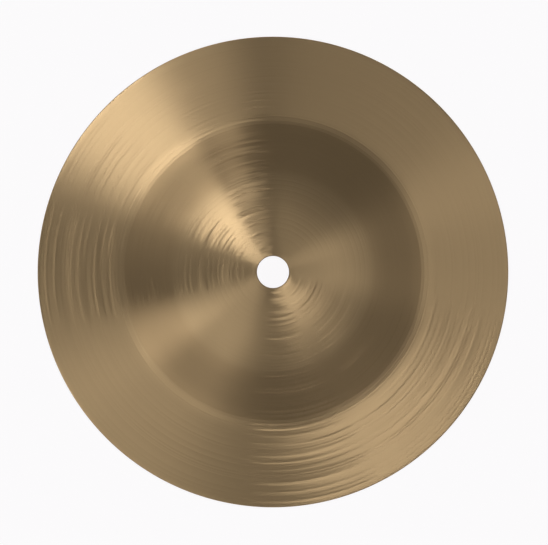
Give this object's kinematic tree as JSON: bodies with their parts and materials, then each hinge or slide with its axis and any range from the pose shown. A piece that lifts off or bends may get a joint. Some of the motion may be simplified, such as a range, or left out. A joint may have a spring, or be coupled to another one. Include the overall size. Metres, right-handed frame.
{
  "type": "bell cymbal",
  "caption": "Round turned bronze bell cymbal with a tall domed bell, a shallow sloping flange and a plain centre hole, struck to ring like a small bell.",
  "frame": {"origin": "on the disc's axis, in the plane that the rim stands on", "axes": "+Z along the axis, up out of the crown of the bell; the disc is round, so +X and +Y are any two square directions"},
  "size_m": [0.165, 0.165, 0.024],
  "materials": {
    "bronze": "lathe-turned bell bronze, satin, with tonal grooves"
  },
  "bodies": {
    "root": {"cymbal": "bronze"}
  },
  "joints": []
}
